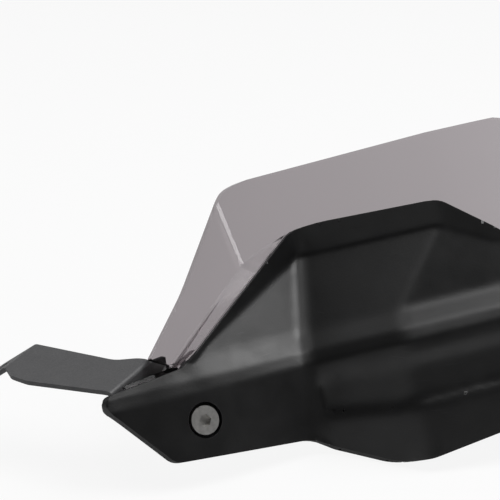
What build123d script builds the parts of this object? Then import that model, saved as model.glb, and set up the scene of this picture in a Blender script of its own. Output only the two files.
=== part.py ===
from build123d import *
import os

os.makedirs("parts", exist_ok=True)

# Carried pose of the guard, which is drawn level and then tipped back
tip_back = 25.7
dip = 2.9

# Wall and screen
wall_step = Vector(1.6, 3.0, -0.9)
screen_step = Vector(1.4, 2.7, -0.7)
seat_clearance = 0.05
lip_depth = 1.5

# Long channel in the lower front
channel_step = Vector(1.1, 2.1, 0)

# Upright ribs inside
rib_places = [(-22, 12, 36), (-4, 10, 36), (44, -11, 30), (70, -9, 30), (96, -5, 28)]
rib_places += [(122, 1, 26), (150, 7, 26)]
rib_thickness = 2.2
rib_depth = 3.0

# Tip screw, M6 in a sleeve
tip_point = Vector(-49, -41, 26.3)
tip_turn = 15
thread = 6.0
thread_gap = 0.05
head_diameter = 13.0
head_height = 4.0
head_sink = 0.4
socket_across = 5.0
socket_depth = 2.6
counterbore_diameter = 16.0
sleeve_diameter = 9.0
sleeve_gap = 0.1
sleeve_bore = 6.4
boss_diameter = 20.0
boss_depth = 13.0
strap_thickness = 2.2
washer_thickness = 1.6
washer_diameter = 12.5
nut_across = 10.0
nut_height = 6.0
thread_end = 2.0

# Screen fixings, M5 from inside
screen_boss_diameter = 11.0
screen_boss_gap = 0.4
insert_diameter = 6.4
insert_length = 5.0
screen_thread = 5.0
button_diameter = 9.5
button_height = 2.7
screen_washer_diameter = 15.0
screen_washer_thickness = 1.0
screen_socket = 3.0
screen_socket_depth = 1.6
boss_top = 7.8
fixing_places = [(-9, 61), (13, 72), (58, 70), (81, 60)]

# Strap arm and lug
strap_hole = 6.4
fold_point = Vector(-76.6, 35.3, 77.7)
fold_line = Vector(0.93, 0.18, 0.31)
arm_normal = Vector(-0.2, -0.44, 0.87)
lug_normal = Vector(-0.327, 0.133, 0.906)
lug_width = 20.3
lug_length = 30.0
lug_hole = 8.5
lug_hole_setback = 17.0
bend_radius = 4.0
strap_left = -22.5
strap_right = 7.5
strap_reach = 59.5
tab_right = 18.0
joggle = 10.0

# Plan lines of the shell from tip to tail: underside, ledge, back of the ledge and above the facets
foot_line = [(-100, -6), (-88, -21.5), (-62, -34.5), (-40, -40), (13, -43), (35, -86), (90, -116)]
foot_line += [(130, -116), (184, -102.5)]
ledge_line = [(-100, -10), (-88, -25.5), (-62, -38.5), (-40, -44), (9, -48), (29.7, -93.8), (88, -127.5)]
ledge_line += [(130, -128), (184, -113.5)]
back_line = [(-100, -4), (-88, -14.5), (-62, -32), (-45, -39.5), (16.7, -41.4), (37.1, -87.1), (92, -119)]
back_line += [(130, -119), (184, -104.5)]
over_line = [(-100, 16), (-88, 6), (-62, -11), (-45, -18.5), (53.3, -19.9), (102.5, -110.7), (120, -121.4)]
over_line += [(150, -114), (184, -95)]
line_radii = [1, 25, 60, 60, 8, 12, 34, 60, 1, 1, 1]
foot_height = -30.0
ledge_height = 40.6
back_height = 52.6
over_height = 130.0
level_fall = 0.02
ledge_round = (0.96, 0.26)
back_round = (0.9, 0.02)
form_back = 70.0
glass_back = 90.0

# Plan lines of the flared rim, at its root and high above
rim_root = [(-100, -7), (-62, -31.5), (-46, -39), (36.5, -24.9), (69.8, -93.8), (86, -108), (106, -116.8)]
rim_root += [(130, -117.3), (184, -103)]
rim_over = [(-100, -13), (-62, -40), (-46, -51.5), (29, -39.4), (60, -103.4), (86, -124.7), (106, -130)]
rim_over += [(130, -130.5), (184, -116.5)]
rim_radii = [1, 40, 10, 6, 8, 40, 40, 60, 1, 1, 1]
rim_low = 50.0

# Feature lines of the screen at a low and a high level
screen_low = 40.0
screen_high = 135.0
low_line = [(-110, -26.1), (18, -26.1), (51.6, -96.8), (95, -113), (130, -113.5), (184, -99)]
high_line = [(-110, 0), (20, 0), (80.7, -87.6), (108, -103), (140, -105), (184, -90)]
valley_radius = 9.0
crease_radius = 2.5


def along(points, x):
    for (x0, v0), (x1, v1) in zip(points, points[1:]):
        if x <= x1:
            return v0 + (v1 - v0) * (x - x0) / (x1 - x0)
    return points[-1][1]


def between(first, second, share):
    return [(a + (c - a) * share, b + (d - b) * share) for (a, b), (c, d) in zip(first, second)]


def stack(levels, radii, back):
    with BuildPart() as block:
        for height, line in levels:
            level = Plane(origin=(0, 0, height), x_dir=(1, 0, -level_fall), z_dir=(level_fall, 0, 1))
            with BuildSketch(level):
                with BuildLine():
                    FilletPolyline(*line, (184, back), (line[0][0], back), radius=radii, close=True)
                make_face()
        loft(ruled=True)
    return block.part


def form():
    rise = ledge_height - foot_height
    slope = back_height - ledge_height
    facet = over_height - back_height
    levels = [
        (foot_height, foot_line),
        (foot_height + rise * ledge_round[0], between(foot_line, ledge_line, ledge_round[0])),
        (ledge_height + slope * ledge_round[1], between(ledge_line, back_line, ledge_round[1])),
        (ledge_height + slope * back_round[0], between(ledge_line, back_line, back_round[0])),
        (back_height + facet * back_round[1], between(back_line, over_line, back_round[1])),
        (over_height, over_line),
    ]
    rim = [(rim_low, rim_root), (over_height, rim_over)]
    return stack(levels, line_radii, form_back) + stack(rim, rim_radii, form_back)


def screen_form():
    with BuildPart() as block:
        for level, line in ((screen_low, low_line), (screen_high, high_line)):
            with BuildSketch(Plane.XY.offset(level)):
                with BuildLine():
                    FilletPolyline(
                        *line, (184, glass_back), (-110, glass_back),
                        radius=[1, valley_radius, crease_radius, 60, 60, 1, 1, 1], close=True,
                    )
                make_face()
        loft(ruled=True)
    return block.part


def slab(points, radii):
    with BuildPart() as block:
        with BuildSketch(Plane.XZ):
            with BuildLine():
                FilletPolyline(*points, radius=radii, close=True)
            make_face()
        extrude(amount=200, both=True)
    return block.part


def facet_depth(x, z):
    share = (z + level_fall * x - back_height) / (over_height - back_height)
    return along(between(back_line, over_line, share), x)


def facet_plane(x, z):
    depth = facet_depth(x, z)
    across = facet_depth(x + 1, z) - depth
    rise = facet_depth(x, z + 1) - depth
    return Plane(origin=(x, depth, z), x_dir=(1, across, 0), z_dir=(across, -1, rise))


def rod(plane, start, end, diameter, bore=0):
    with BuildPart() as block:
        with BuildSketch(plane.offset(start)):
            Circle(diameter / 2)
            if bore:
                Circle(bore / 2, mode=Mode.SUBTRACT)
        extrude(amount=end - start)
    return block.part


outer = form()
inner = Pos(wall_step) * outer
glass = screen_form()

# Front view of the shell, from the nose along the top and back along the bottom
front = slab(
    [
        (-91, 46), (-52, 50.8), (33, 100.6), (64.5, 95.8), (107, 54), (180, 47.5),
        (177, 14), (112, -2), (66, -12.5), (29, -17), (7, 4), (-65.4, 11.3),
    ],
    [5.5, 1.5, 20, 12, 10, 12, 14, 40, 30, 14, 25, 7],
)

# Upright ribs on the inner face
rib_block = Part()
for x, low, high in rib_places:
    rib_block = rib_block + Pos(x, -60, (low + high) / 2) * Box(rib_thickness, 200, high - low)
rib_front = Pos(wall_step * 0.5) * outer
rib_back = Pos(wall_step * rib_depth) * outer
shell_body = (outer - inner) & front
shell_body = shell_body + ((rib_front - rib_back) & rib_block)

# Recessed channel with a floor of its own behind it
channel_front = Pos(channel_step) * outer
channel_back = Pos(channel_step + wall_step) * outer
channel = slab([(12, 31), (26, 29), (190, 26), (190, 8), (28, 9.5), (12, 14)], [3, 3, 3, 3, 3, 3])
channel_floor = slab(
    [(8, 35), (26, 33), (190, 30), (190, 4), (28, 5.5), (8, 10)],
    [3, 3, 3, 3, 3, 3],
)
shell_body = shell_body - (channel - channel_front)
shell_body = shell_body + ((channel_front - channel_back) & channel_floor & front)

# Boss of the tip screw
tip_axis = Vector(0, -1, 0).rotate(Axis.Z, -tip_turn)
tip = Plane(origin=tip_point, x_dir=Vector(1, 0, 0).rotate(Axis.Z, -tip_turn), z_dir=tip_axis)
seat = -(head_sink + head_height)
shell_body = shell_body + (rod(tip, -1.5, -boss_depth, boss_diameter) & outer)
shell_body = shell_body - rod(tip, seat, 12, counterbore_diameter)
shell_body = shell_body - rod(tip, -boss_depth - 1, 0, sleeve_diameter + 2 * sleeve_gap)

# Bosses for the screen screws
fixings = [facet_plane(x, z) for x, z in fixing_places]
for spot in fixings:
    shell_body = shell_body + (rod(spot, -1.2, -boss_top, screen_boss_diameter) & outer)
for spot in fixings:
    shell_body = shell_body - rod(spot, -boss_top - 1, insert_length - boss_top, insert_diameter)

# Screen: flange behind the shell, step strip and panels
seat_face = Pos(wall_step * (1 + seat_clearance)) * outer
flange_back = Pos(wall_step * (2 + seat_clearance)) * outer
glass_rear = Pos(screen_step) * glass
flange = slab(
    [
        (-42, 54.5), (33, 98), (64, 93), (106, 52), (176, 46), (176, 33), (112, 36), (98, 48),
        (64, 60), (40, 60), (24, 58), (-20, 53.6), (-38, 53.6),
    ],
    [1, 17, 10, 10, 3, 6, 10, 10, 10, 10, 10, 10, 1],
)
strip = slab(
    [
        (-50.5, 51.7), (33, 100.6), (64.5, 95.8), (107, 54), (176, 48.2),
        (176, 45.2), (105.8, 51), (63.3, 92.8), (33.8, 97.4), (-48.5, 49.2),
    ],
    [0.5, 20, 12, 10, 1, 1, 13, 9, 17, 1],
)
pane = slab(
    [
        (-55.7, 57.9), (-24, 83), (23.7, 128.2), (50, 130), (79.5, 131), (107, 127.5), (140, 118),
        (176, 98), (176, 46.5), (106, 52.5), (63.8, 94), (33.4, 98.8), (-42.5, 50.8),
    ],
    [0.8, 150, 15, 200, 20, 60, 60, 16, 1, 10, 10, 18, 0.8],
)
lip_back = Pos(wall_step * lip_depth) * outer
lip = slab(
    [(-74, 44.6), (-74, 49.6), (-53, 52.3), (-44, 57.4), (-38, 57), (-42, 52), (-50, 47.6)],
    [0.8, 1.2, 1.2, 0.8, 0.8, 4, 4],
)
screen_body = (seat_face - flange_back) & flange
screen_body = screen_body + ((seat_face - lip_back) & lip)
screen_body = screen_body + ((seat_face & strip) - glass_rear)
screen_body = screen_body + ((glass - glass_rear) & pane & seat_face)
for spot in fixings:
    screen_body = screen_body - rod(spot, -20, -1, screen_boss_diameter + 2 * screen_boss_gap)
    screen_body = screen_body - rod(spot, -20, -boss_top, screen_washer_diameter + 2 * screen_boss_gap)

# Strap: arm, lug and foot, each cut where the next one bends away
arm = Plane(origin=fold_point, x_dir=fold_line, z_dir=arm_normal)
lug = Plane(origin=fold_point, x_dir=fold_line, z_dir=lug_normal)
with BuildPart() as arm_plate:
    with BuildSketch(arm):
        with BuildLine():
            FilletPolyline(
                (0, 14), (0, 2), (1.5, -44), (strap_right, -54), (strap_right, -80), (strap_left, -80),
                (strap_left, -56), (-28.7, -17), (-27.5, -7), (-lug_width, 3), (-lug_width, 14),
                radius=[0.5, 20, 12, 12, 0.5, 0.5, 20, 12, 6, 6, 0.5], close=True,
            )
        make_face()
    extrude(amount=-strap_thickness)
step = Plane(
    origin=arm.from_local_coords((0, -strap_reach, 0)), x_dir=arm.x_dir, z_dir=-arm.y_dir,
)
shelf = arm.offset(-joggle)
with BuildPart() as step_plate:
    with BuildSketch(step):
        with BuildLine():
            Polyline(
                (strap_left, 0), (strap_right, 0), (strap_right, -1.5), (tab_right, -4.5),
                (tab_right, -joggle - strap_thickness), (strap_left, -joggle - strap_thickness), close=True,
            )
        make_face()
    extrude(amount=-strap_thickness)
with BuildPart() as shelf_plate:
    with BuildSketch(shelf):
        with Locations(((strap_left + tab_right) / 2, -strap_reach - 18 + strap_thickness)):
            Rectangle(tab_right - strap_left, 36)
    extrude(amount=-strap_thickness)
with BuildPart() as lug_plate:
    with BuildSketch(lug):
        with Locations((-lug_width / 2, lug_length / 2 - 6)):
            RectangleRounded(lug_width, lug_length + 12, 5.5)
        with Locations((-lug_width / 2, lug_hole_setback)):
            Circle(lug_hole / 2, mode=Mode.SUBTRACT)
    extrude(amount=-strap_thickness)
with BuildPart() as foot_plate:
    with BuildSketch(tip.offset(-boss_depth)):
        with BuildLine():
            FilletPolyline(
                (-27, 40), (11, 40), (11, -11), (-11, -11), (-13, 2), (-27, 8),
                radius=[1, 1, 8, 8, 12, 3], close=True,
            )
        make_face()
        Circle(strap_hole / 2, mode=Mode.SUBTRACT)
    extrude(amount=-strap_thickness)
with BuildPart() as above_arm:
    with BuildSketch(arm):
        Rectangle(400, 400)
    extrude(amount=100)
with BuildPart() as above_shelf:
    with BuildSketch(shelf):
        Rectangle(400, 400)
    extrude(amount=100)
with BuildPart() as before_step:
    with BuildSketch(step):
        Rectangle(400, 400)
    extrude(amount=100)
with BuildPart() as above_lug:
    with BuildSketch(lug):
        Rectangle(400, 400)
    extrude(amount=100)
with BuildPart() as before_foot:
    with BuildSketch(tip.offset(-boss_depth)):
        Rectangle(400, 400)
    extrude(amount=100)
strap_body = arm_plate.part - above_lug.part - before_step.part
strap_body = strap_body + (lug_plate.part - above_arm.part)
strap_body = strap_body + (step_plate.part - before_foot.part)
strap_body = strap_body + (shelf_plate.part - before_foot.part)
strap_body = strap_body + (foot_plate.part - above_shelf.part)
fold_top = arm.from_local_coords((-lug_width / 2, 0, 0))
fold_under = fold_top - (arm.z_dir + lug.z_dir) * (strap_thickness / 2)
strap_body = fillet([strap_body.edges().sort_by_distance(fold_top)[0]], bend_radius)
strap_body = fillet([strap_body.edges().sort_by_distance(fold_under)[0]], bend_radius - strap_thickness)
step_top = arm.from_local_coords(((strap_left + strap_right) / 2, -strap_reach, 0))
strap_body = fillet([strap_body.edges().sort_by_distance(step_top)[0]], bend_radius / 2)

# Tip hardware along the screw's axis
foot_back = -(boss_depth + strap_thickness)
washer_back = foot_back - washer_thickness
nut_back = washer_back - nut_height
with BuildPart() as screw_body:
    with BuildSketch(tip.offset(seat)):
        Circle(head_diameter / 2)
    extrude(amount=head_height)
    with BuildSketch(tip.offset(-head_sink)):
        RegularPolygon(socket_across / 2, 6, major_radius=False)
    extrude(amount=-socket_depth, mode=Mode.SUBTRACT)
    with BuildSketch(tip.offset(nut_back - thread_end)):
        Circle(thread / 2)
    extrude(amount=seat - nut_back + thread_end)
with BuildPart() as nut_body:
    with BuildSketch(tip.offset(nut_back)):
        RegularPolygon(nut_across / 2, 6, major_radius=False)
        Circle(thread / 2 + thread_gap, mode=Mode.SUBTRACT)
    extrude(amount=nut_height)

# Everything is tipped back and set down with the lug's hole at the origin
carried = Rot(-tip_back, 0, 0) * Rot(0, dip, 0)
lug_centre = lug.offset(-strap_thickness).from_local_coords((-lug_width / 2, lug_hole_setback, 0))
place = Pos(-(carried * Pos(lug_centre)).position) * carried

with BuildPart() as shell:
    add(place * shell_body)
shell.part.label = "shell"
export_step(shell.part, "parts/shell.step")

with BuildPart() as screen:
    add(place * screen_body)
screen.part.label = "screen"
export_step(screen.part, "parts/screen.step")

with BuildPart() as mounting_strap:
    add(place * strap_body)
mounting_strap.part.label = "mounting_strap"
export_step(mounting_strap.part, "parts/mounting_strap.step")

with BuildPart() as tip_screw:
    add(place * screw_body.part)
tip_screw.part.label = "tip_screw"
export_step(tip_screw.part, "parts/tip_screw.step")

with BuildPart() as tip_sleeve:
    add(place * rod(tip, seat, -boss_depth, sleeve_diameter, sleeve_bore))
tip_sleeve.part.label = "tip_sleeve"
export_step(tip_sleeve.part, "parts/tip_sleeve.step")

with BuildPart() as tip_washer:
    add(place * rod(tip, foot_back, washer_back, washer_diameter, strap_hole))
tip_washer.part.label = "tip_washer"
export_step(tip_washer.part, "parts/tip_washer.step")

with BuildPart() as tip_nut:
    add(place * nut_body.part)
tip_nut.part.label = "tip_nut"
export_step(tip_nut.part, "parts/tip_nut.step")

washer_top = -boss_top - screen_washer_thickness
with BuildPart() as screen_screws:
    for spot in fixings:
        add(place * rod(spot, washer_top - button_height, washer_top, button_diameter))
        add(place * rod(spot, washer_top, insert_length - boss_top - 0.6, screen_thread))
        with BuildSketch(place * spot.offset(washer_top - button_height)):
            RegularPolygon(screen_socket / 2, 6, major_radius=False)
        extrude(amount=screen_socket_depth, mode=Mode.SUBTRACT)
screen_screws.part.label = "screen_screws"
export_step(screen_screws.part, "parts/screen_screws.step")

with BuildPart() as screen_washers:
    for spot in fixings:
        add(place * rod(spot, washer_top, -boss_top, screen_washer_diameter, screen_thread + 0.4))
screen_washers.part.label = "screen_washers"
export_step(screen_washers.part, "parts/screen_washers.step")

with BuildPart() as screen_inserts:
    for spot in fixings:
        bore = screen_thread + 2 * thread_gap
        add(place * rod(spot, -boss_top, insert_length - boss_top, insert_diameter, bore))
screen_inserts.part.label = "screen_inserts"
export_step(screen_inserts.part, "parts/screen_inserts.step")
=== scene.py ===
import math
import bmesh
import bpy
import numpy as np
from mathutils import Matrix, Vector
from mathutils.bvhtree import BVHTree


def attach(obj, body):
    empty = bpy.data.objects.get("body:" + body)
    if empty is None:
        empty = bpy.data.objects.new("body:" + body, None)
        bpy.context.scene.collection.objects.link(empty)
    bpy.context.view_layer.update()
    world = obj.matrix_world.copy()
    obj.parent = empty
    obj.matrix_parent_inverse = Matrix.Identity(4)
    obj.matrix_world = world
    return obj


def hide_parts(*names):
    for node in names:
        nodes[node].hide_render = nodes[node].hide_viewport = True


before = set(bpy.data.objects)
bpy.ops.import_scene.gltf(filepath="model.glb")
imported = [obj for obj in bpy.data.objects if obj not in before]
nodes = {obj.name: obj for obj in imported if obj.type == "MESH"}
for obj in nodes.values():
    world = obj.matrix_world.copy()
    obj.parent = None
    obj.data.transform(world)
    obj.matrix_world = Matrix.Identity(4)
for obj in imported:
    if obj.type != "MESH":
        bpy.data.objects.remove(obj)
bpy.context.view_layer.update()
print("frame loaded", sorted(nodes))


def material(name):
    mat = bpy.data.materials.new(name)
    mat.use_nodes = True
    tree = mat.node_tree
    return mat, tree.nodes, tree.links, tree.nodes["Principled BSDF"]


def make(treeNodes, kind, values=None, **settings):
    made = treeNodes.new(kind)
    for key, value in settings.items():
        setattr(made, key, value)
    for socket, value in (values or {}).items():
        made.inputs[socket].default_value = value
    return made


def speckle(treeNodes, links, vector, scale, detail=3, rough=0.55):
    noise = make(treeNodes, "ShaderNodeTexNoise", {
        "Scale": scale, "Detail": detail, "Roughness": rough,
    })
    links.new(vector, noise.inputs["Vector"])
    return noise.outputs["Fac"]


def pebble(treeNodes, links, vector, scale):
    cells = make(treeNodes, "ShaderNodeTexVoronoi", {
        "Scale": scale, "Smoothness": 0.8,
    }, feature="SMOOTH_F1")
    links.new(vector, cells.inputs["Vector"])
    return cells.outputs["Distance"]


def stretch(treeNodes, links, vector, scale, turn=(0, 0, 0)):
    mapping = make(treeNodes, "ShaderNodeMapping", {"Scale": scale, "Rotation": turn})
    links.new(vector, mapping.inputs["Vector"])
    return mapping.outputs["Vector"]


def fade(treeNodes, links, value, span, to=(0, 1)):
    ramp = make(treeNodes, "ShaderNodeMapRange", {
        "From Min": span[0], "From Max": span[1], "To Min": to[0], "To Max": to[1],
    }, clamp=True)
    links.new(value, ramp.inputs["Value"])
    return ramp.outputs["Result"]


def sums(treeNodes, links, operation, first, second):
    step = make(treeNodes, "ShaderNodeMath", operation=operation)
    for k, value in enumerate((first, second)):
        if isinstance(value, (int, float)):
            step.inputs[k].default_value = value
        else:
            links.new(value, step.inputs[k])
    return step.outputs[0]


def colours(treeNodes, links, amount, first, second):
    mix = make(treeNodes, "ShaderNodeMix", data_type="RGBA")
    for k, value in ((6, first), (7, second)):  # the colour sockets
        if isinstance(value, tuple):
            mix.inputs[k].default_value = value
        else:
            links.new(value, mix.inputs[k])
    links.new(amount, mix.inputs[0])
    return mix.outputs[2]


def relief(treeNodes, links, shader, layers):
    normal = None
    for height, strength, distance in layers:
        bump = make(treeNodes, "ShaderNodeBump", {"Strength": strength, "Distance": distance})
        links.new(height, bump.inputs["Height"])
        if normal is not None:
            links.new(normal, bump.inputs["Normal"])
        normal = bump.outputs["Normal"]
    links.new(normal, shader.inputs["Normal"])


def rubbedEdge(treeNodes, links, radius, span):
    bevel = make(treeNodes, "ShaderNodeBevel", {"Radius": radius}, samples=6)
    face = make(treeNodes, "ShaderNodeNewGeometry")
    dot = make(treeNodes, "ShaderNodeVectorMath", operation="DOT_PRODUCT")
    links.new(bevel.outputs["Normal"], dot.inputs[0])
    links.new(face.outputs["Normal"], dot.inputs[1])
    return fade(treeNodes, links, dot.outputs["Value"], span)


# the guard is drawn level and carried tipped back, so this turns level lines to the carried pose
pose = {"tipBack": -25.7, "dip": 2.9, "origin": (-83.8528, 76.7385, 44.7864)}
levelTurn = Matrix.Rotation(math.radians(pose["tipBack"]), 3, "X")
levelTurn = levelTurn @ Matrix.Rotation(math.radians(pose["dip"]), 3, "Y")


def carried(point):
    return (levelTurn @ Vector(point) - Vector(pose["origin"])) / 1000


# black moulded plastic with a fine spark-eroded grain
plasticLook = {
    "low": (0.0045, 0.0045, 0.0048, 1), "high": (0.0085, 0.0085, 0.0088, 1),
    "rubbed": (0.04, 0.04, 0.041, 1), "scuffed": (0.022, 0.022, 0.0225, 1),
    "cloud": 38, "hairs": (60, 60, 1100), "hairTurn": (0.3, 0.5, 0.2), "patches": 17,
    "edgeRadius": 0.0009, "edgeFleck": 220, "edgeGloss": 0.1,
    "mottle": 90, "rough": (0.38, 0.46), "specular": 0.45, "grain": 1150, "fineGrain": 3000,
}


def mouldedPlastic(look):
    mat, n, l, shader = material("mouldedPlastic")
    at = make(n, "ShaderNodeTexCoord").outputs["Object"]
    cloud = speckle(n, l, at, look["cloud"], 5)
    base = colours(n, l, fade(n, l, cloud, (0.3, 0.7)), look["low"], look["high"])
    hairs = speckle(n, l, stretch(n, l, at, look["hairs"], look["hairTurn"]), 1, 2)
    patch = fade(n, l, speckle(n, l, at, look["patches"], 2), (0.5, 0.68))
    scuff = sums(n, l, "MULTIPLY", fade(n, l, hairs, (0.66, 0.76)), patch)
    base = colours(n, l, scuff, base, look["scuffed"])
    edge = rubbedEdge(n, l, look["edgeRadius"], (0.985, 0.86))
    fleck = fade(n, l, speckle(n, l, at, look["edgeFleck"], 4), (0.42, 0.66), (0.1, 0.75))
    worn = sums(n, l, "MULTIPLY", edge, fleck)
    base = colours(n, l, worn, base, look["rubbed"])
    l.new(base, shader.inputs["Base Color"])
    rough = fade(n, l, speckle(n, l, at, look["mottle"], 4), (0.3, 0.7), look["rough"])
    rough = sums(n, l, "SUBTRACT", rough, sums(n, l, "MULTIPLY", worn, look["edgeGloss"]))
    l.new(rough, shader.inputs["Roughness"])
    shader.inputs["Specular IOR Level"].default_value = look["specular"]
    relief(n, l, shader, [
        (pebble(n, l, at, look["grain"]), 0.3, 0.00006),
        (speckle(n, l, at, look["fineGrain"], 3), 0.25, 0.00005),
        (scuff, 0.2, 0.00004),
    ])
    return mat


# smoked clear sheet; its growing paleness towards the tail is painted reflection, standing in for
# the extra light the tail panel reflects
screenLook = {
    "nose": (0.292, 0.268, 0.277, 1), "tail": (0.50, 0.468, 0.482, 1),
    "cloudy": (0.36, 0.33, 0.345, 1), "clouds": 14, "span": (0.02, 0.25),
    "wipe": (40, 900, 900), "wipeTurn": (0.4, 0.3, 0.6), "waves": 26,
    "rough": (0.02, 0.05), "ior": 1.28,
}


def smokedScreen(look):
    mat, n, l, shader = material("smokedScreen")
    at = make(n, "ShaderNodeTexCoord").outputs["Object"]
    apart = make(n, "ShaderNodeSeparateXYZ")
    l.new(at, apart.inputs[0])
    along = fade(n, l, apart.outputs["X"], look["span"])
    # painted reflection: the smoke tint is made paler towards the tail to stand in for light
    # reflected off the tail panel
    smokeTintAndPaintedReflection = colours(n, l, sums(n, l, "POWER", along, 2), look["nose"], look["tail"])
    cloud = fade(n, l, speckle(n, l, at, look["clouds"], 2), (0.4, 0.7), (0, 0.3))
    smokeTintAndPaintedReflection = colours(n, l, cloud, smokeTintAndPaintedReflection, look["cloudy"])
    l.new(smokeTintAndPaintedReflection, shader.inputs["Base Color"])
    wiped = speckle(n, l, stretch(n, l, at, look["wipe"], look["wipeTurn"]), 1, 2)
    l.new(fade(n, l, wiped, (0.55, 0.8), look["rough"]), shader.inputs["Roughness"])
    shader.inputs["Transmission Weight"].default_value = 1
    shader.inputs["IOR"].default_value = look["ior"]
    relief(n, l, shader, [
        (speckle(n, l, at, look["waves"], 2), 0.05, 0.0006), (wiped, 0.02, 0.00003),
    ])
    return mat


# wrinkled powder coat on the strap
strapLook = {
    "low": (0.058, 0.058, 0.06, 1), "high": (0.095, 0.095, 0.098, 1),
    "rubbed": (0.2, 0.2, 0.2, 1), "wrinkle": 1000, "fleck": 1500,
    "edgeRadius": 0.0005, "edgeFleck": 260, "mottle": 120, "rough": (0.46, 0.62),
}


def powderCoat(look):
    mat, n, l, shader = material("powderCoat")
    at = make(n, "ShaderNodeTexCoord").outputs["Object"]
    wrinkle = pebble(n, l, at, look["wrinkle"])
    fleck = speckle(n, l, at, look["fleck"], 4, 0.7)
    base = colours(n, l, fade(n, l, fleck, (0.3, 0.7)), look["low"], look["high"])
    edge = rubbedEdge(n, l, look["edgeRadius"], (0.97, 0.8))
    chips = fade(n, l, speckle(n, l, at, look["edgeFleck"], 4), (0.45, 0.65), (0, 0.6))
    base = colours(n, l, sums(n, l, "MULTIPLY", edge, chips), base, look["rubbed"])
    l.new(base, shader.inputs["Base Color"])
    mottle = speckle(n, l, at, look["mottle"], 3)
    l.new(fade(n, l, mottle, (0.3, 0.7), look["rough"]), shader.inputs["Roughness"])
    relief(n, l, shader, [(wrinkle, 0.4, 0.00012), (fleck, 0.35, 0.00008)])
    return mat


# stainless fasteners: turned rings on the tip set, a brushed finish on the others
steelLook = {
    "low": (0.58, 0.57, 0.55, 1), "high": (0.76, 0.75, 0.73, 1), "stain": 420,
    "rough": (0.3, 0.46), "pitch": 0.00035, "waver": 700, "waverBy": 6.0, "brush": (300, 300, 5000),
}
tipScrew = {"place": (-49, -41, 26.3), "axis": (-0.25882, -0.96593, 0)}


def turnedRings(n, l, at, look):
    off = make(n, "ShaderNodeVectorMath", {1: carried(tipScrew["place"])}, operation="SUBTRACT")
    l.new(at, off.inputs[0])
    axis = levelTurn @ Vector(tipScrew["axis"])
    across = make(n, "ShaderNodeVectorMath", {1: axis}, operation="CROSS_PRODUCT")
    l.new(off.outputs[0], across.inputs[0])
    radius = make(n, "ShaderNodeVectorMath", operation="LENGTH")
    l.new(across.outputs[0], radius.inputs[0])
    phase = sums(n, l, "MULTIPLY", radius.outputs["Value"], 2 * math.pi / look["pitch"])
    waver = sums(n, l, "MULTIPLY", speckle(n, l, at, look["waver"], 2), look["waverBy"])
    rings = sums(n, l, "SINE", sums(n, l, "ADD", phase, waver), 0)
    return fade(n, l, rings, (-1, 1))


def stainless(look, name, turned):
    mat, n, l, shader = material(name)
    at = make(n, "ShaderNodeTexCoord").outputs["Object"]
    shader.inputs["Metallic"].default_value = 1
    if turned:
        marks = turnedRings(n, l, at, look)
    else:
        marks = speckle(n, l, stretch(n, l, at, look["brush"]), 1, 3)
    stain = speckle(n, l, at, look["stain"], 4)
    base = colours(n, l, fade(n, l, stain, (0.3, 0.7)), look["low"], look["high"])
    l.new(base, shader.inputs["Base Color"])
    l.new(fade(n, l, marks, (0, 1), look["rough"]), shader.inputs["Roughness"])
    relief(n, l, shader, [(marks, 0.25, 0.00002), (stain, 0.15, 0.00003)])
    return mat


# turned brass inserts
brassLook = {
    "low": (0.6, 0.4, 0.15, 1), "high": (0.8, 0.58, 0.26, 1), "tarnish": 500,
    "turning": (4000, 4000, 300), "rough": (0.26, 0.42),
}


def turnedBrass(look):
    mat, n, l, shader = material("turnedBrass")
    at = make(n, "ShaderNodeTexCoord").outputs["Object"]
    shader.inputs["Metallic"].default_value = 1
    tarnish = speckle(n, l, at, look["tarnish"], 4)
    base = colours(n, l, fade(n, l, tarnish, (0.3, 0.7)), look["low"], look["high"])
    l.new(base, shader.inputs["Base Color"])
    marks = speckle(n, l, stretch(n, l, at, look["turning"]), 1, 2)
    l.new(fade(n, l, marks, (0.3, 0.7), look["rough"]), shader.inputs["Roughness"])
    relief(n, l, shader, [(marks, 0.25, 0.00003)])
    return mat


plastic = mouldedPlastic(plasticLook)
turnedSteel = stainless(steelLook, "turnedSteel", True)
brushedSteel = stainless(steelLook, "brushedSteel", False)
finishes = {
    "shell": plastic, "screen": smokedScreen(screenLook), "mounting_strap": powderCoat(strapLook),
    "tip_screw": turnedSteel, "tip_sleeve": turnedSteel,
    "tip_washer": turnedSteel, "tip_nut": turnedSteel,
    "screen_screws": brushedSteel, "screen_washers": brushedSteel,
    "screen_inserts": turnedBrass(brassLook),
}
for name, mat in finishes.items():
    piece = nodes[name]
    piece.data.materials.clear()
    piece.data.materials.append(mat)
print("finishes set", len(finishes))

# soft moulded skin over the shell's solid; level lines are in mm, short gaps in metres
skinLook = {
    "weld": 1e-6, "depth": 8, "fill": 0.99, "crumbs": 0.02, "stray": 0.00015, "split": 40,
    "inset": 0.0002, "innerEdge": (1.0, 4.0), "beside": 0.0005,
    "pull": 0.5, "soften": 9, "edgeKeep": (0.5, 6.0), "screw": (-49, 26.3), "screwKeep": (9.0, 15.0),
    "ridge": [(92.5, 55), (118, 125)], "ridgeReach": (11.0, 3.0), "ridgeSoften": 48,
    "channelLeft": (-4.0, 4.0), "channelTop": (37.0, 31.0), "channelEdge": 5,
    "channelSoften": 32, "spread": 5, "rayStart": 0.0012,
    "ways": [(0, -1, 0), (0, -1, 0.7), (0, -1, -0.7), (0.7, -1, 0), (-0.7, -1, 0)],
    "outline": [
        (-91, 46), (-52, 50.8), (33, 100.6), (64.5, 95.8), (107, 54), (180, 47.5),
        (177, 14), (112, -2), (66, -12.5), (29, -17), (7, 4), (-65.4, 11.3),
    ],
}


def rampUp(values, low, high):
    t = np.clip((values - low) / (high - low), 0, 1)
    return t * t * (3 - 2 * t)


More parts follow.
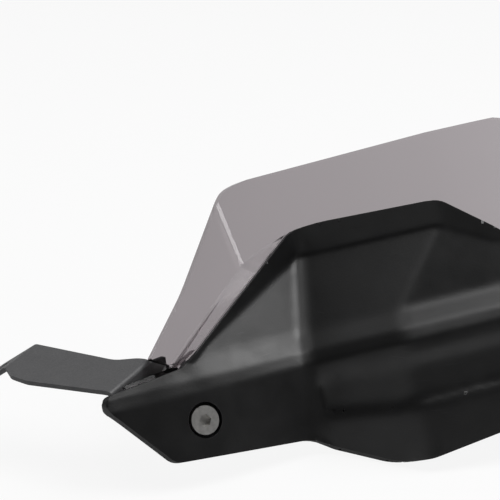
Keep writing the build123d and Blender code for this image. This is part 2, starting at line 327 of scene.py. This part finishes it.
def relax(points, ends, weight, rounds, pull):
    count = len(points)
    first, second = ends[:, 0], ends[:, 1]
    degree = np.bincount(first, minlength=count) + np.bincount(second, minlength=count)
    for _ in range(rounds):
        mean = np.empty_like(points)
        for axis in range(3):
            column = points[:, axis]
            total = np.bincount(first, weights=column[second], minlength=count)
            total += np.bincount(second, weights=column[first], minlength=count)
            mean[:, axis] = total / degree
        points = points + (mean - points) * weight[:, None] * pull
    return points


def away(flat, corners):
    nearest = np.full(len(flat), 1e9)
    for a, b in zip(corners, corners[1:]):
        a, b = np.array(a, float), np.array(b, float)
        run = b - a
        t = np.clip(((flat - a) @ run) / (run @ run), 0, 1)
        nearest = np.minimum(nearest, np.linalg.norm(flat - a - t[:, None] * run, axis=1))
    return nearest


def remeshed(name, source, look):
    bm = bmesh.new()
    bm.from_mesh(source.data)
    bmesh.ops.remove_doubles(bm, verts=bm.verts, dist=look["weld"])
    solid = BVHTree.FromBMesh(bm)
    seed = bpy.data.meshes.new(name + "Seed")
    bm.to_mesh(seed)
    bm.free()
    skin = bpy.data.objects.new(name, seed)
    bpy.context.scene.collection.objects.link(skin)
    remesh = skin.modifiers.new("remesh", "REMESH")
    remesh.mode = "SHARP"
    remesh.octree_depth = look["depth"]
    remesh.scale = look["fill"]
    remesh.use_remove_disconnected = True
    remesh.threshold = look["crumbs"]
    deps = bpy.context.evaluated_depsgraph_get()
    mesh = bpy.data.meshes.new_from_object(skin.evaluated_get(deps))
    skin.modifiers.clear()
    skin.data = mesh
    mesh.name = name
    return skin, mesh, solid


def mouldedSkin(name, source, neighbour, look):
    skin, mesh, solid = remeshed(name, source, look)
    corners = [v.co for v in neighbour.data.vertices]
    near = BVHTree.FromPolygons(corners, [p.vertices for p in neighbour.data.polygons])
    count = len(mesh.vertices)
    points = np.empty(count * 3)
    mesh.vertices.foreach_get("co", points)
    points = points.reshape(count, 3)
    ends = np.empty(len(mesh.edges) * 2, dtype=np.int32)
    mesh.edges.foreach_get("vertices", ends)
    ends = ends.reshape(-1, 2)
    for k in range(count):  # strays of the remesh go back to the solid
        spot, _, _, gap = solid.find_nearest(Vector(points[k]))
        if gap > look["stray"]:
            points[k] = spot
    level = (points * 1000 + np.array(pose["origin"])) @ np.array(levelTurn)
    flat = level[:, [0, 2]]
    edge = away(flat, look["outline"] + look["outline"][:1])
    zone = rampUp(flat[:, 0], *look["channelLeft"]) * rampUp(flat[:, 1], *look["channelTop"])
    inZone = (zone > 0) & (edge > look["channelEdge"])
    # outer points see open air ahead, and in the channel also aslant
    outward = [levelTurn @ Vector(way).normalized() for way in look["ways"]]
    seen = np.zeros(count)
    for k in range(count):
        spot = Vector(points[k])
        tries = outward if inZone[k] else outward[:1]
        seen[k] = any(solid.ray_cast(spot + way * look["rayStart"], way)[0] is None for way in tries)
    for _ in range(look["spread"]):  # takes in the channel's narrow walls
        grown = seen.copy()
        np.maximum.at(grown, ends[:, 0], seen[ends[:, 1]])
        np.maximum.at(grown, ends[:, 1], seen[ends[:, 0]])
        seen = np.where(inZone, grown, seen)
    screw = np.linalg.norm(flat - np.array(look["screw"]), axis=1)
    weight = seen * rampUp(edge, *look["edgeKeep"]) * rampUp(screw, *look["screwKeep"])
    ridge = weight * rampUp(away(flat, look["ridge"]), *look["ridgeReach"])
    points = relax(points, ends, weight, look["soften"], look["pull"])
    points = relax(points, ends, ridge, look["ridgeSoften"], look["pull"])
    points = relax(points, ends, weight * zone, look["channelSoften"], look["pull"])
    mesh.vertices.foreach_set("co", points.ravel())
    mesh.update()
    # the inner side, and what lies beside the screen, is drawn in a little
    normals = np.empty(count * 3)
    mesh.vertices.foreach_get("normal", normals)
    inner = (1 - seen) * rampUp(edge, *look["innerEdge"])
    reach = look["beside"]
    beside = np.array([near.find_nearest(Vector(spot), reach)[0] is not None for spot in points])
    inner = np.maximum(inner, beside)
    points = points - normals.reshape(count, 3) * inner[:, None] * look["inset"]
    mesh.vertices.foreach_set("co", points.ravel())
    for polygon in mesh.polygons:
        polygon.use_smooth = True
    mesh.set_sharp_from_angle(angle=math.radians(look["split"]))
    mesh.update()
    print("skin", len(mesh.polygons), "faces,", round(float(weight.mean()), 3), "softened")
    return skin


shellSkin = mouldedSkin("shellSkin", nodes["shell"], nodes["screen"], skinLook)
shellSkin.data.materials.clear()
shellSkin.data.materials.append(plastic)
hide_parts("shell")
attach(shellSkin, "root")

# white sheet under the guard, bright to the eye but still taking its shadow
middle = (0.12, -0.09, 0.03)
floorLook = {
    "size": 14, "level": -0.0300, "color": (0.72, 0.72, 0.724, 1), "rough": 0.9, "specular": 0.1,
    "tooth": 300, "glow": 0.9, "inGloss": 0.25,
}


def whiteSheet(look):
    mat, n, l, shader = material("whiteSheet")
    at = make(n, "ShaderNodeTexCoord").outputs["Object"]
    relief(n, l, shader, [(speckle(n, l, at, look["tooth"]), 0.03, 0.0002)])
    shader.inputs["Base Color"].default_value = look["color"]
    shader.inputs["Roughness"].default_value = look["rough"]
    shader.inputs["Specular IOR Level"].default_value = look["specular"]
    glow = make(n, "ShaderNodeEmission", {"Color": (1, 1, 1, 1), "Strength": 1})
    path = make(n, "ShaderNodeLightPath").outputs
    mirrored = sums(n, l, "MULTIPLY", path["Is Glossy Ray"], look["inGloss"])
    bright = sums(n, l, "MAXIMUM", path["Is Camera Ray"], mirrored)
    bright = sums(n, l, "MAXIMUM", bright, path["Is Transmission Ray"])
    blend = make(n, "ShaderNodeMixShader")
    l.new(sums(n, l, "MULTIPLY", bright, look["glow"]), blend.inputs[0])
    l.new(shader.outputs[0], blend.inputs[1])
    l.new(glow.outputs[0], blend.inputs[2])
    l.new(blend.outputs[0], n["Material Output"].inputs["Surface"])
    return mat


sheet = whiteSheet(floorLook)
bpy.ops.mesh.primitive_plane_add(size=floorLook["size"], location=(0, 0, floorLook["level"]))
floor = bpy.context.object
floor.name = "floor"
floor.data.materials.append(sheet)

# low white sheet far behind, which the screen's fold reflects
wallLook = {"away": 1.9, "toward": (0.5, 0.87), "height": 0.42, "size": (3.4, 0.9, 1), "turn": -30}
wallPlace = [middle[k] + wallLook["away"] * wallLook["toward"][k] for k in range(2)]
bpy.ops.mesh.primitive_plane_add(size=1, location=(*wallPlace, wallLook["height"]))
wall = bpy.context.object
wall.name = "wall"
wall.scale = wallLook["size"]
wall.rotation_euler = (math.pi / 2, 0, math.radians(wallLook["turn"]))
wall.data.materials.append(sheet)

# dim room
world = bpy.data.worlds.new("room")
world.use_nodes = True
bpy.context.scene.world = world
room = world.node_tree.nodes["Background"]
room.inputs["Color"].default_value = (1, 1, 1, 1)
room.inputs["Strength"].default_value = 0.07

# square soft lamps, all aimed at the middle of the guard
lampLook = {
    "keyLight": {"place": (0.632, -0.4485, 1.1125), "side": 0.68, "power": 14},
    "topLight": {"place": (-0.1149, -0.1314, 1.257), "side": 0.45, "power": 2},
    "rearLight": {"place": (-0.2395, 0.2695, 1.1719), "side": 0.7, "power": 1.8},
    "farLight": {"place": (0.12, 0.8389, 0.8664), "side": 0.7, "power": 1.5},
}


def softbox(name, target, look):
    data = bpy.data.lights.new(name, "AREA")
    data.shape = "RECTANGLE"
    data.size = look["side"]
    data.size_y = look["side"]
    data.energy = look["power"]
    lamp = bpy.data.objects.new(name, data)
    bpy.context.scene.collection.objects.link(lamp)
    lamp.location = look["place"]
    aim = Vector(target) - Vector(look["place"])
    lamp.rotation_euler = aim.to_track_quat("-Z", "Y").to_euler()


for name, look in lampLook.items():
    softbox(name, middle, look)
print("stage lit", len(lampLook), "lamps")

# camera of the photo
cameraLook = {
    "eye": (-0.47905, -0.71304, 0.36941), "forward": (0.6227, 0.7038, -0.3420),
    "side": (0.7490, -0.6626, 0), "lens": 144, "sensor": 36, "clipStart": 0.01,
}
eye = Vector(cameraLook["eye"])
forward = Vector(cameraLook["forward"]).normalized()
side = Vector(cameraLook["side"]).normalized()
upward = side.cross(forward).normalized()
camData = bpy.data.cameras.new("camera")
camData.lens = cameraLook["lens"]
camData.sensor_width = cameraLook["sensor"]
camData.clip_start = cameraLook["clipStart"]
camera = bpy.data.objects.new("camera", camData)
bpy.context.scene.collection.objects.link(camera)
camera.matrix_world = Matrix((
    (side.x, upward.x, -forward.x, eye.x),
    (side.y, upward.y, -forward.y, eye.y),
    (side.z, upward.z, -forward.z, eye.z),
    (0, 0, 0, 1),
))
bpy.context.scene.camera = camera
bpy.context.scene.view_settings.view_transform = "Standard"
print("camera set")
